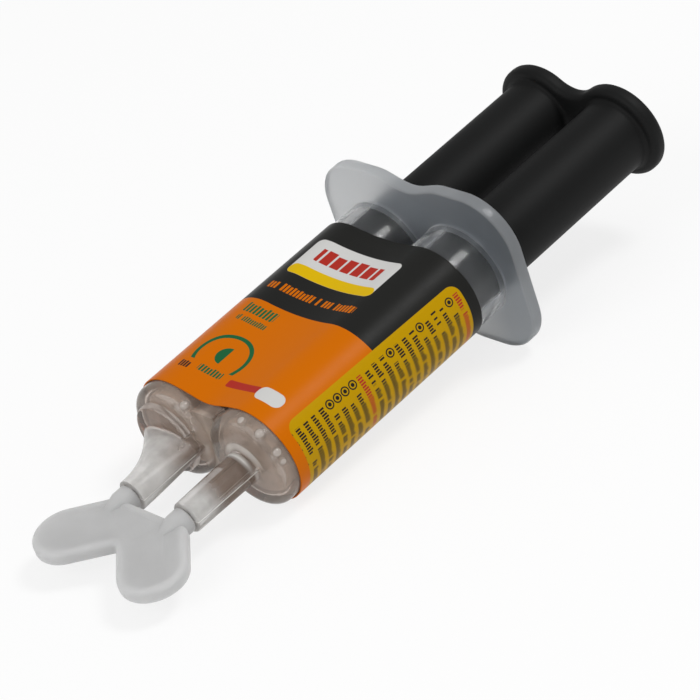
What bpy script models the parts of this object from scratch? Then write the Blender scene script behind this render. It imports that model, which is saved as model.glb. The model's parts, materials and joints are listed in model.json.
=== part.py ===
"""Twin-barrel syringe of two-part epoxy glue, lying on a table as it does in use.

The two adhesives stay apart in their own barrels. One double plunger pushes both at once, and a
winged closure plugs the two nozzles. Everything is drawn along the syringe's axis first (x across
the barrels, y up, z from the nozzles towards the plunger) and then laid down by one parent empty.
Lengths are metres.
"""

import math

import bmesh
import bpy
import numpy as np
from mathutils import Matrix, Vector

# Barrel moulding: two tubes side by side, with their front walls at z = 0
BARREL_SPACING = 0.0137
BORE_RADIUS = 0.0054
BARREL_WALL = 0.0013
BARREL_LENGTH = 0.0413
FRONT_WALL = 0.0016
FRONT_EDGE_RADIUS = 0.0015
WEB_HEIGHT = 0.0030
FRONT_BRIDGE_WIDTH = 0.0040
FRONT_BRIDGE_HEIGHT = 0.0086
FRONT_BRIDGE_START = 0.0010
FRONT_BRIDGE_END = 0.0032

# Finger flange at the open end of the barrels
FLANGE_WIDTH = 0.0332
FLANGE_HEIGHT = 0.0232
FLANGE_THICKNESS = 0.0018
FLANGE_CORNER_RADIUS = 0.0070
FLANGE_WAIST_WIDTH = 0.0120
FLANGE_WAIST_DEPTH = 0.0013
FLANGE_EDGE_BEVEL = 0.0003

# Nozzles: the hardener's is a plain tube, the resin's fans out to a boss, so the closure is keyed
NOZZLE_LENGTH = 0.0105
NOZZLE_ROOT_RADIUS = 0.00230
NOZZLE_TIP_RADIUS = 0.00215
NOZZLE_BORE_RADIUS = 0.00120
BOSS_RADIUS = 0.0050
BOSS_HEIGHT = 0.0010
BOSS_EDGE_RADIUS = 0.0004
FAN_TIP_OFFSET = 0.0039
FAN_BASE_WIDTH = 0.0100
FAN_FLARE_POWER = 2.0

# Label sleeve round both barrels, pulled nearly flat across the valley between them
LABEL_START = 0.0023
LABEL_LENGTH = 0.0339
LABEL_THICKNESS = 0.00015
LABEL_GAP = 0.00010
LABEL_VALLEY_RADIUS = 0.0295

# Double plunger: hollow rods on one thumb plate
ROD_EXPOSED_LENGTH = 0.0288
ROD_WALL = 0.0012
THUMB_PLATE_THICKNESS = 0.0024
THUMB_PLATE_LIP = 0.00155
THUMB_PLATE_VALLEY_RADIUS = 0.0047
THUMB_PLATE_EDGE_BEVEL = 0.0007

# Pistons, snapped into the rods' open ends
PISTON_LENGTH = 0.0033
PISTON_GROOVE_DEPTH = 0.0005
PISTON_NOSE_HEIGHT = 0.0005
PISTON_STEM_LENGTH = 0.0030

# Winged closure with a pin for each nozzle
TAB_THICKNESS = 0.0020
TAB_REAR_WIDTH = 0.0128
TAB_SIDE_SHIFT = -0.0006
TAB_EDGE_BEVEL = 0.0006
TAB_SHOULDER_RADIUS = 0.0015
TAB_NOTCH_RADIUS = 0.0008
WING_LENGTH = 0.0105
WING_WIDTH = 0.0089
WING_ANGLE = math.radians(43.4)
WING_CORNER_RADIUS = 0.0044
NECK_RADIUS = 0.00175
NECK_LENGTH = 0.00145
PIN_LENGTH = 0.0043

# Clearances
RUNNING_CLEARANCE = 0.00025
CONTACT_GAP = 0.00020
STOP_GAP = 0.0003
END_SPACE = 0.0005

# Mesh fineness and construction allowances
ROUND_STEPS = 48
ARC_STEPS = 8
FILLET_STEPS = 4
FLARE_STEPS = 8
MERGE_DISTANCE = 0.00001
CUT_OVERRUN = 0.0010
SMOOTH_ANGLE = math.radians(35.0)
BEVEL_ANGLE = math.radians(40.0)

# Places that follow from the sizes above
HALF_SPACING = BARREL_SPACING / 2
BARREL_RADIUS = BORE_RADIUS + BARREL_WALL
FLANGE_MIDDLE = BARREL_LENGTH + FLANGE_THICKNESS / 2
FLANGE_REAR = BARREL_LENGTH + FLANGE_THICKNESS
HARDENER_SIDE = -HALF_SPACING
RESIN_SIDE = HALF_SPACING
RESIN_TIP_SIDE = RESIN_SIDE - FAN_TIP_OFFSET
TIP_MIDDLE = (HARDENER_SIDE + RESIN_TIP_SIDE) / 2
STROKE = ROD_EXPOSED_LENGTH - STOP_GAP
ROD_RADIUS = BORE_RADIUS - RUNNING_CLEARANCE
PISTON_FRONT = FRONT_WALL + END_SPACE + STROKE
PISTON_REAR = PISTON_FRONT + PISTON_LENGTH
ROD_FRONT = PISTON_REAR + CONTACT_GAP
THUMB_PLATE_FRONT = FLANGE_REAR + ROD_EXPOSED_LENGTH

COLOURS = {
    "natural plastic": ((0.62, 0.60, 0.58, 1.0), 0.35),
    "printed film": ((0.60, 0.15, 0.005, 1.0), 0.40),
    "black plastic": ((0.018, 0.018, 0.018, 1.0), 0.50),
    "piston plastic": ((0.030, 0.030, 0.030, 1.0), 0.45),
    "resin": ((0.40, 0.34, 0.30, 1.0), 0.20),
    "hardener": ((0.36, 0.31, 0.27, 1.0), 0.20),
    "milky plastic": ((0.68, 0.68, 0.67, 1.0), 0.45),
}


def material(name):
    colour, roughness = COLOURS[name]
    made = bpy.data.materials.get(name) or bpy.data.materials.new(name)
    made.use_nodes = True
    shader = made.node_tree.nodes["Principled BSDF"]
    shader.inputs["Base Color"].default_value = colour
    shader.inputs["Roughness"].default_value = roughness
    shader.inputs["Metallic"].default_value = 0.0
    return made


def place(piece, axis_x, z):
    """Stand a piece on the syringe's drawing axes, its own origin on the line it slides along."""
    piece.location = (axis_x, 0.0, z)
    piece.parent = syringe_axes
    return piece


def as_part(piece, name, finish):
    piece.name = name
    piece.data.name = name
    piece.data.materials.clear()
    piece.data.materials.append(material(finish))
    piece.data.shade_smooth()
    piece.data.set_sharp_from_angle(angle=SMOOTH_ANGLE)
    parts.objects.link(piece)
    return piece


def as_tool(piece, name):
    piece.name = name
    piece.hide_render = True
    piece.display_type = "WIRE"
    tools.objects.link(piece)
    return piece


def combine(piece, tool, operation):
    step = piece.modifiers.new(f"{operation.lower()} {tool.name}", "BOOLEAN")
    step.operation = operation
    step.solver = "EXACT"
    step.object = tool


def bevel_edges(piece, width):
    bevel = piece.modifiers.new("edge bevel", "BEVEL")
    bevel.width = width
    bevel.segments = 2
    bevel.limit_method = "ANGLE"
    bevel.angle_limit = BEVEL_ANGLE


def arc(centre, radius, start, end, steps=ARC_STEPS):
    """Points of an arc, as (across, along) pairs."""
    angles = np.linspace(start, end, steps + 1)
    return [(centre[0] + radius * math.cos(a), centre[1] + radius * math.sin(a)) for a in angles]


def turned(profile):
    """A round solid: its (radius, z) profile runs from the plunger end down to the nozzle end."""
    mesh = bpy.data.meshes.new("profile")
    points = [(radius, 0.0, z) for radius, z in profile]
    edges = [(i, i + 1) for i in range(len(points) - 1)]
    mesh.from_pydata(points, edges, [])
    piece = bpy.data.objects.new("turned", mesh)
    screw = piece.modifiers.new("turn", "SCREW")
    screw.steps = ROUND_STEPS
    screw.render_steps = ROUND_STEPS
    screw.use_merge_vertices = True
    screw.merge_threshold = MERGE_DISTANCE
    screw.use_normal_calculate = True
    return piece


def rod(radius, front, rear):
    """A plain cylinder between two places on its axis."""
    mesh = bpy.data.meshes.new("rod")
    shape = bmesh.new()
    bmesh.ops.create_cone(
        shape, cap_ends=True, segments=ROUND_STEPS, radius1=radius, radius2=radius, depth=rear - front
    )
    bmesh.ops.translate(shape, verts=shape.verts, vec=(0.0, 0.0, (front + rear) / 2))
    shape.to_mesh(mesh)
    shape.free()
    return bpy.data.objects.new("rod", mesh)


def to_mesh(piece):
    """The evaluated shape of a curve or a modified mesh, welded into one plain mesh object."""
    bpy.context.scene.collection.objects.link(piece)
    evaluated = piece.evaluated_get(bpy.context.evaluated_depsgraph_get())
    mesh = bpy.data.meshes.new_from_object(evaluated)
    shape = bmesh.new()
    shape.from_mesh(mesh)
    bmesh.ops.remove_doubles(shape, verts=shape.verts, dist=MERGE_DISTANCE)
    shape.to_mesh(mesh)
    shape.free()
    made = bpy.data.objects.new(piece.name, mesh)
    bpy.data.objects.remove(piece)
    return made


def plate(outlines, thickness):
    """A flat plate across the axis, centred on z = 0. A second outline is a hole in the first."""
    curve = bpy.data.curves.new("plate", "CURVE")
    curve.dimensions = "2D"
    curve.fill_mode = "BOTH"
    curve.extrude = thickness / 2
    for outline in outlines:
        spline = curve.splines.new("POLY")
        spline.points.add(len(outline) - 1)
        for point, (across, up) in zip(spline.points, outline):
            point.co = (across, up, 0.0, 1.0)
        spline.use_cyclic_u = True
    return to_mesh(bpy.data.objects.new("plate", curve))


def rounded_outline(corners):
    """A closed outline through (across, along, radius) corners, each rounded by its own arc."""
    outline = []
    for i, (across, along, radius) in enumerate(corners):
        corner = Vector((across, along))
        to_last = (Vector(corners[i - 1][:2]) - corner).normalized()
        to_next = (Vector(corners[(i + 1) % len(corners)][:2]) - corner).normalized()
        half_angle = to_last.angle(to_next) / 2
        centre = corner + (to_last + to_next).normalized() * radius / math.sin(half_angle)
        first = corner + to_last * radius / math.tan(half_angle) - centre
        last = corner + to_next * radius / math.tan(half_angle) - centre
        start = math.atan2(first.y, first.x)
        sweep = math.atan2(first.cross(last), first.dot(last))
        outline += arc(centre, radius, start, start + sweep)
    return outline


def twin_outline(lobe_radius, valley_radius):
    """Two round lobes on the barrel axes, with a hollow curve between them above and below."""
    valley_height = math.sqrt((lobe_radius + valley_radius) ** 2 - HALF_SPACING**2)
    lean = math.atan2(valley_height, HALF_SPACING)
    quarter = math.pi / 2
    lobe_steps = 4 * ARC_STEPS
    outline = arc((HALF_SPACING, 0.0), lobe_radius, lean - math.pi, math.pi - lean, lobe_steps)
    outline += arc((0.0, valley_height), valley_radius, -lean, lean - 2 * quarter)[1:-1]
    outline += arc((-HALF_SPACING, 0.0), lobe_radius, lean, 2 * math.pi - lean, lobe_steps)
    outline += arc((0.0, -valley_height), valley_radius, math.pi - lean, lean)[1:-1]
    return outline


def flange_outline():
    """Rounded rectangle whose long edges dip a little between the barrels."""
    half_width = FLANGE_WIDTH / 2
    half_height = FLANGE_HEIGHT / 2
    radius = FLANGE_CORNER_RADIUS
    inset = half_width - radius
    rise = half_height - radius
    places = np.linspace(1.0, -1.0, 2 * ARC_STEPS + 1)
    dips = [FLANGE_WAIST_DEPTH * math.cos(math.pi / 2 * place_along) ** 2 for place_along in places]
    waist = [(FLANGE_WAIST_WIDTH / 2 * p, half_height - dip) for p, dip in zip(places, dips)]
    outline = arc((inset, rise), radius, 0.0, math.pi / 2)
    outline += waist
    outline += arc((-inset, rise), radius, math.pi / 2, math.pi)
    outline += arc((-inset, -rise), radius, math.pi, 1.5 * math.pi)
    outline += [(-across, -up) for across, up in waist]
    outline += arc((inset, -rise), radius, 1.5 * math.pi, 2 * math.pi)
    return outline


def tab_outline():
    """Winged tab seen from above: straight rear edge, two round-ended wings, a notch in front."""
    half_rear = TAB_REAR_WIDTH / 2
    along = Vector((math.cos(WING_ANGLE), -math.sin(WING_ANGLE)))
    inward = Vector((-math.sin(WING_ANGLE), -math.cos(WING_ANGLE)))
    shoulder = Vector((half_rear, 0.0))
    rear_corner = shoulder + along * WING_LENGTH
    front_corner = rear_corner + inward * WING_WIDTH
    notch_depth = (WING_WIDTH - half_rear * math.sin(WING_ANGLE)) / math.cos(WING_ANGLE)
    wing = [
        (shoulder.x, shoulder.y, TAB_SHOULDER_RADIUS),
        (rear_corner.x, rear_corner.y, WING_CORNER_RADIUS),
        (front_corner.x, front_corner.y, WING_CORNER_RADIUS),
    ]
    notch = (0.0, -notch_depth, TAB_NOTCH_RADIUS)
    other_wing = [(-across, depth, radius) for across, depth, radius in reversed(wing)]
    return rounded_outline(wing + [notch] + other_wing)


def fan_stretch(z):
    """How much wider than its tip the fanned nozzle is at a place along it."""
    run = min(max((NOZZLE_LENGTH + z) / (NOZZLE_LENGTH - BOSS_HEIGHT), 0.0), 1.0)
    spread = FAN_BASE_WIDTH / (2 * NOZZLE_TIP_RADIUS) - 1.0
    return 1.0 + spread * run**FAN_FLARE_POWER


def straight_nozzle():
    """Profile of a plain nozzle that stands on its barrel's front wall."""
    return [(NOZZLE_ROOT_RADIUS, 0.0), (NOZZLE_TIP_RADIUS, -NOZZLE_LENGTH), (0.0, -NOZZLE_LENGTH)]


def nozzle_boss():
    """Profile of the low boss under the fanned nozzle."""
    edge_centre = (BOSS_RADIUS - BOSS_EDGE_RADIUS, BOSS_EDGE_RADIUS - BOSS_HEIGHT)
    profile = [(BOSS_RADIUS, 0.0)]
    profile += arc(edge_centre, BOSS_EDGE_RADIUS, 0.0, -math.pi / 2, FILLET_STEPS)
    profile += [(0.0, -BOSS_HEIGHT)]
    return profile


def barrel_body(side, front):
    """One barrel with a round-edged front wall, what stands on it, and a rear end in the flange."""
    edge_centre = (BARREL_RADIUS - FRONT_EDGE_RADIUS, FRONT_EDGE_RADIUS)
    profile = [(0.0, FLANGE_MIDDLE), (BARREL_RADIUS, FLANGE_MIDDLE)]
    profile += arc(edge_centre, FRONT_EDGE_RADIUS, 0.0, -math.pi / 2, FILLET_STEPS)
    profile += front
    return place(turned(profile), side, 0.0)


def fanned_nozzle():
    """A tube stretched outward towards its base, with its inner side left straight."""
    root = FRONT_WALL / 2
    stations = np.linspace(root, -NOZZLE_LENGTH, FLARE_STEPS + 1)
    profile = [(0.0, root)]
    profile += [(NOZZLE_TIP_RADIUS, z) for z in stations]
    profile += [(0.0, -NOZZLE_LENGTH)]
    nozzle = to_mesh(turned(profile))
    for vertex in nozzle.data.vertices:
        from_inner_side = vertex.co.x + NOZZLE_TIP_RADIUS
        vertex.co.x = from_inner_side * fan_stretch(vertex.co.z) - NOZZLE_TIP_RADIUS
    return place(nozzle, RESIN_TIP_SIDE, 0.0)


def block_between(name, width, height, start, end):
    """Plain block between the tubes, centred on the syringe's axis."""
    mesh = bpy.data.meshes.new(name)
    shape = bmesh.new()
    bmesh.ops.create_cube(shape, size=1.0)
    bmesh.ops.scale(shape, verts=shape.verts, vec=(width, height, end - start))
    shape.to_mesh(mesh)
    shape.free()
    return place(bpy.data.objects.new(name, mesh), 0.0, (start + end) / 2)


def barrel_web():
    """Thin wall that joins the tubes, from the middle of one wall to the middle of the other."""
    width = BARREL_SPACING - 2 * BORE_RADIUS - BARREL_WALL
    return block_between("web", width, WEB_HEIGHT, FRONT_WALL, FLANGE_MIDDLE)


def front_bridge():
    """Block that fills most of the valley between the two front walls."""
    sizes = (FRONT_BRIDGE_WIDTH, FRONT_BRIDGE_HEIGHT, FRONT_BRIDGE_START, FRONT_BRIDGE_END)
    return block_between("front bridge", *sizes)


def make_twin_barrel():
    barrel = barrel_body(HARDENER_SIDE, straight_nozzle())
    as_part(barrel, "twin_barrel", "natural plastic")
    other_barrel = barrel_body(RESIN_SIDE, nozzle_boss())
    flange = place(plate([flange_outline()], FLANGE_THICKNESS), 0.0, FLANGE_MIDDLE)
    bevel_edges(flange, FLANGE_EDGE_BEVEL)
    combine(barrel, as_tool(other_barrel, "resin barrel body"), "UNION")
    combine(barrel, as_tool(barrel_web(), "barrel web"), "UNION")
    combine(barrel, as_tool(front_bridge(), "front bridge"), "UNION")
    combine(barrel, as_tool(flange, "finger flange"), "UNION")
    combine(barrel, as_tool(fanned_nozzle(), "fanned nozzle"), "UNION")
    for side, tip_side, name in (
        (HARDENER_SIDE, HARDENER_SIDE, "hardener"),
        (RESIN_SIDE, RESIN_TIP_SIDE, "resin"),
    ):
        bore = rod(BORE_RADIUS, FRONT_WALL, FLANGE_REAR + CUT_OVERRUN)
        outlet = rod(NOZZLE_BORE_RADIUS, -NOZZLE_LENGTH - CUT_OVERRUN, FRONT_WALL + CUT_OVERRUN)
        combine(barrel, as_tool(place(bore, side, 0.0), f"{name} bore"), "DIFFERENCE")
        combine(barrel, as_tool(place(outlet, tip_side, 0.0), f"{name} outlet"), "DIFFERENCE")


def make_label():
    inner_radius = BARREL_RADIUS + LABEL_GAP
    outside = twin_outline(inner_radius + LABEL_THICKNESS, LABEL_VALLEY_RADIUS)
    inside = twin_outline(inner_radius, LABEL_VALLEY_RADIUS + LABEL_THICKNESS)
    sleeve = plate([outside, inside], LABEL_LENGTH)
    place(as_part(sleeve, "label", "printed film"), 0.0, LABEL_START + LABEL_LENGTH / 2)


def make_plunger():
    """Thumb plate with two rods, cored from their piston ends to keep the walls even."""
    middle = THUMB_PLATE_FRONT + THUMB_PLATE_THICKNESS / 2
    outline = twin_outline(ROD_RADIUS + THUMB_PLATE_LIP, THUMB_PLATE_VALLEY_RADIUS)
    plunger = place(plate([outline], THUMB_PLATE_THICKNESS), 0.0, middle)
    as_part(plunger, "plunger", "black plastic")
    bevel_edges(plunger, THUMB_PLATE_EDGE_BEVEL)
    for side, name in ((HARDENER_SIDE, "hardener"), (RESIN_SIDE, "resin")):
        body = rod(ROD_RADIUS, ROD_FRONT, middle)
        combine(plunger, as_tool(place(body, side, 0.0), f"{name} rod"), "UNION")
    for side, name in ((HARDENER_SIDE, "hardener"), (RESIN_SIDE, "resin")):
        core = rod(ROD_RADIUS - ROD_WALL, ROD_FRONT - CUT_OVERRUN, THUMB_PLATE_FRONT - ROD_WALL)
        combine(plunger, as_tool(place(core, side, 0.0), f"{name} rod core"), "DIFFERENCE")


def make_piston(side, name):
    """Two sealing lips with a groove between them, a blunt nose, and a stem for the rod's bore."""
    lip = BORE_RADIUS - RUNNING_CLEARANCE
    stem = ROD_RADIUS - ROD_WALL - RUNNING_CLEARANCE
    groove = lip - PISTON_GROOVE_DEPTH
    third = (PISTON_LENGTH - PISTON_NOSE_HEIGHT) / 3
    profile = [
        (0.0, PISTON_LENGTH + PISTON_STEM_LENGTH),
        (stem, PISTON_LENGTH + PISTON_STEM_LENGTH),
        (stem, PISTON_LENGTH),
        (lip, PISTON_LENGTH),
        (lip, PISTON_LENGTH - third),
        (groove, PISTON_LENGTH - third),
        (groove, PISTON_LENGTH - 2 * third),
        (lip, PISTON_LENGTH - 2 * third),
        (lip, PISTON_NOSE_HEIGHT),
        (groove, 0.0),
        (0.0, 0.0),
    ]
    place(as_part(turned(profile), name, "piston plastic"), side, PISTON_FRONT)


def make_charge(side, name, finish):
    """Glue that fills a barrel between its front wall and its piston."""
    front = FRONT_WALL + CONTACT_GAP
    rear = PISTON_FRONT - CONTACT_GAP
    charge = rod(BORE_RADIUS - CONTACT_GAP, 0.0, rear - front)
    place(as_part(charge, name, finish), side, front)


def make_tip_closure():
    """The tab lies flat in the plane of the barrels; necks and pins run along the nozzles."""
    tab = plate([tab_outline()], TAB_THICKNESS)
    tab.data.transform(Matrix.Rotation(math.pi / 2, 4, "X"))
    tab_rear = -NOZZLE_LENGTH - CONTACT_GAP - NECK_LENGTH
    middle = TIP_MIDDLE + TAB_SIDE_SHIFT
    closure = place(as_part(tab, "tip_closure", "milky plastic"), middle, tab_rear)
    bevel_edges(closure, TAB_EDGE_BEVEL)
    pin_radius = NOZZLE_BORE_RADIUS - RUNNING_CLEARANCE
    buried = tab_rear - TAB_SHOULDER_RADIUS
    for side, name in ((HARDENER_SIDE, "hardener"), (RESIN_TIP_SIDE, "resin")):
        neck = rod(NECK_RADIUS, buried, -NOZZLE_LENGTH - CONTACT_GAP)
        pin = rod(pin_radius, tab_rear, PIN_LENGTH - NOZZLE_LENGTH)
        combine(closure, as_tool(place(neck, side, 0.0), f"{name} neck"), "UNION")
        combine(closure, as_tool(place(pin, side, 0.0), f"{name} pin"), "UNION")


def lay_down():
    """Rest the syringe on its flange's lower edge and its nose, centred over the origin."""
    graph = bpy.context.evaluated_depsgraph_get()
    corners = []
    for piece in [each for each in parts.objects if each.type == "MESH"]:
        solid = piece.evaluated_get(graph).to_mesh()
        corners += [piece.matrix_world @ vertex.co for vertex in solid.vertices]
    corners = np.array(corners)
    up = corners[:, 1]
    along = corners[:, 2]
    lowest = up < up.min() + MERGE_DISTANCE
    pivot_along = along[lowest].min()
    ahead = along < pivot_along - FLANGE_THICKNESS
    tilt = np.arctan2(up[ahead] - up.min(), pivot_along - along[ahead]).min()
    axes_turn = Matrix.Rotation(math.pi / 2, 4, "Z") @ Matrix.Rotation(math.pi / 2, 4, "X")
    turn = Matrix.Rotation(-float(tilt), 4, "Y") @ axes_turn
    laid = corners @ np.array(turn.to_3x3()).T
    middle = (laid.min(axis=0) + laid.max(axis=0)) / 2
    offset = Vector((-middle[0], -middle[1], -laid[:, 2].min()))
    syringe_axes.matrix_world = Matrix.Translation(offset) @ turn


for old in list(bpy.data.objects):
    bpy.data.objects.remove(old)

parts = bpy.data.collections.new("epoxy_syringe")
tools = bpy.data.collections.new("cutters")
bpy.context.scene.collection.children.link(parts)
bpy.context.scene.collection.children.link(tools)
syringe_axes = bpy.data.objects.new("syringe_axes", None)
parts.objects.link(syringe_axes)

make_twin_barrel()
make_label()
make_plunger()
make_piston(HARDENER_SIDE, "hardener_piston")
make_piston(RESIN_SIDE, "resin_piston")
make_charge(HARDENER_SIDE, "hardener_charge", "hardener")
make_charge(RESIN_SIDE, "resin_charge", "resin")
make_tip_closure()
bpy.context.view_layer.update()
lay_down()
bpy.context.view_layer.update()
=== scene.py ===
"""Looks of a twin-barrel glue syringe that lies on a table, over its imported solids. Lengths are metres."""

import json
import math

import bpy
from mathutils import Matrix, Vector


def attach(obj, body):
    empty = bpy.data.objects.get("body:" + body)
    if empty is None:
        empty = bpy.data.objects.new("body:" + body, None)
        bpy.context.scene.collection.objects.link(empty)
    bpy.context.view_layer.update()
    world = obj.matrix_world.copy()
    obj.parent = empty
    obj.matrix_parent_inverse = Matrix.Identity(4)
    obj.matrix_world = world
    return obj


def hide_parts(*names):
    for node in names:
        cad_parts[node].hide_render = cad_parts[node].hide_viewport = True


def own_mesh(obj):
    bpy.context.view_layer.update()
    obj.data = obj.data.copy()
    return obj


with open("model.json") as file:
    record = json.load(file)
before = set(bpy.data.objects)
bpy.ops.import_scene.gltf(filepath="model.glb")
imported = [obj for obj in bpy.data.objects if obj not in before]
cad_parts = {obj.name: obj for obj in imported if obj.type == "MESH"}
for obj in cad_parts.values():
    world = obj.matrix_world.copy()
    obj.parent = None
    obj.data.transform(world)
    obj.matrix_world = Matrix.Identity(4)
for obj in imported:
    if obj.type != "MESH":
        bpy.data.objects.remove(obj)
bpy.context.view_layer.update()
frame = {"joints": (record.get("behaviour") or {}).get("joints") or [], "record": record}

# Twin barrel: one clear moulding of natural polypropylene, with two tubes, a finger flange and a nozzle on
# each tube. Tubes are turned, the flange is pressed, all are fused, and the bores are taken out. Like
# every piece it is modelled upright along z and then laid down along the syringe's axis.
push_joint = next(joint for joint in frame["joints"] if joint["name"] == "plunger_push")
thumb_face = next(mount for mount in frame["record"]["mounts"] if mount["name"] == "thumb_face")
thumb_face_along = 0.0743
syringe_axis = -Vector(push_joint["axis"]).normalized()
syringe_up = Vector((-syringe_axis.z, 0.0, syringe_axis.x))
syringe_start = Vector(thumb_face["pos_m"]) - syringe_axis * thumb_face_along
lying_turn = Matrix((Vector((0.0, 1.0, 0.0)), syringe_up, syringe_axis)).transposed()
lying = Matrix.Translation(syringe_start) @ lying_turn.to_4x4()

barrel_half_spacing = 0.00685
barrel_radius = 0.0067
bore_radius = 0.0054
barrel_length = 0.0413
front_wall = 0.0016
front_rounding = 0.0015
bore_floor_rounding = 0.0004
web_width = 0.0016
web_height = 0.0030
bridge_width = 0.0040
bridge_height = 0.0096
bridge_start = 0.0010
bridge_end = 0.0032
nozzle_length = 0.0105
nozzle_root_radius = 0.0023
nozzle_tip_radius = 0.00215
nozzle_bore_radius = 0.0012
nozzle_root_fillet = 0.0005
nozzle_tip_rounding = 0.0002
boss_radius = 0.0050
boss_height = 0.0010
boss_rounding = 0.0004
fan_base_width = 0.0100
fan_wall = 0.0009
fan_hollow_end = 0.0062
fan_tip_across = 0.00295
flange_width = 0.03319
flange_height = 0.02319
flange_thickness = 0.0018
flange_corner_radius = 0.0070
flange_waist_width = 0.0120
flange_waist_depth = 0.0013
flange_rounding = 0.0003
flange_fillet = 0.0003
fillet_sink = 0.00003
cut_overrun = 0.0010
arc_steps = 8
fillet_steps = 5
tip_steps = 4
flange_corner_steps = 16
flange_waist_steps = 12
fan_steps = 14
fan_hollow_steps = 10
round_steps = 96
fan_hollow_round_steps = 64
small_round_steps = 48
bevel_steps = 4
bevel_angle = math.radians(40.0)
smooth_angle = math.radians(35.0)
hardener_across = -barrel_half_spacing
resin_across = barrel_half_spacing
flange_inset = flange_width / 2 - flange_corner_radius
flange_rise = flange_height / 2 - flange_corner_radius
flange_rear = barrel_length + flange_thickness
flange_middle = barrel_length + flange_thickness / 2
quarter_turn = math.pi / 2


def arc(centre, radius, start, end, steps=arc_steps):
    """Points along an arc, both ends among them."""
    turns = [start + (end - start) * step / steps for step in range(steps + 1)]
    return [(centre[0] + radius * math.cos(turn), centre[1] + radius * math.sin(turn)) for turn in turns]


def edit_all(piece):
    """Open a piece in edit mode with all of it selected."""
    bpy.ops.object.select_all(action="DESELECT")
    bpy.context.view_layer.objects.active = piece
    piece.select_set(True)
    bpy.ops.object.mode_set(mode="EDIT")
    bpy.ops.mesh.select_mode(type="FACE")
    bpy.ops.mesh.select_all(action="SELECT")


def close_edit():
    """Turn all faces outwards and go back to object mode."""
    bpy.ops.mesh.select_all(action="SELECT")
    bpy.ops.mesh.normals_make_consistent(inside=False)
    bpy.ops.object.mode_set(mode="OBJECT")


def turned(name, stations, across, around=round_steps):
    """A round solid drawn out of a disc; a station is a radius and a place along the axis."""
    radius, along = stations[0]
    bpy.ops.mesh.primitive_circle_add(
        vertices=around, radius=radius, fill_type="NGON", location=(across, 0.0, along)
    )
    piece = bpy.context.object
    piece.name = name
    bpy.ops.object.transform_apply(location=True)
    edit_all(piece)
    for next_radius, next_along in stations[1:]:
        rise = (0.0, 0.0, next_along - along)
        bpy.ops.mesh.extrude_region_move(TRANSFORM_OT_translate={"value": rise})
        share = next_radius / radius
        bpy.ops.transform.resize(value=(share, share, 1.0), center_override=(across, 0.0, next_along))
        radius, along = next_radius, next_along
    close_edit()
    return piece


def pressed(name, outline, thickness, along):
    """A flat solid across the axis, drawn up from a filled ring of points."""
    bpy.ops.mesh.primitive_circle_add(vertices=len(outline), fill_type="NGON")
    piece = bpy.context.object
    piece.name = name
    for vertex, (point_across, point_up) in zip(piece.data.vertices, outline):
        vertex.co = (point_across, point_up, along)
    edit_all(piece)
    bpy.ops.mesh.extrude_region_move(TRANSFORM_OT_translate={"value": (0.0, 0.0, thickness)})
    close_edit()
    return piece


def rounded(piece, width, segments=bevel_steps):
    """Round a piece's sharp edges with a bevel."""
    bevel = piece.modifiers.new("rounded edges", "BEVEL")
    bevel.width = width
    bevel.segments = segments
    bevel.limit_method = "ANGLE"
    bevel.angle_limit = bevel_angle
    bpy.context.view_layer.objects.active = piece
    bpy.ops.object.modifier_apply(modifier=bevel.name)
    return piece


def fused(piece, tool, operation="UNION"):
    """Join another shape to a piece, or cut it out, and remove that shape."""
    step = piece.modifiers.new("fuse", "BOOLEAN")
    step.operation = operation
    step.solver = "EXACT"
    step.object = tool
    bpy.context.view_layer.objects.active = piece
    bpy.ops.object.modifier_apply(modifier=step.name)
    bpy.data.objects.remove(tool)


def moved(piece, move):
    """Move a piece and keep the move in its shape."""
    piece.matrix_world = move
    bpy.ops.object.select_all(action="DESELECT")
    bpy.context.view_layer.objects.active = piece
    piece.select_set(True)
    bpy.ops.object.transform_apply(location=True, rotation=True, scale=True)


def laid_down(piece, body, finish):
    """Lay a finished piece along the syringe's axis, shade it, and let it ride on its body."""
    piece.data.materials.clear()
    piece.data.materials.append(finish)
    moved(piece, lying)
    bpy.ops.object.shade_smooth_by_angle(angle=smooth_angle)
    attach(piece, body)


mix_share_socket = 0
mix_first_socket = 6
mix_second_socket = 7
mix_colour_output = 2
soft_detail = 2.0
fine_detail = 3.0
unstretched = (1.0, 1.0, 1.0)


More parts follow.
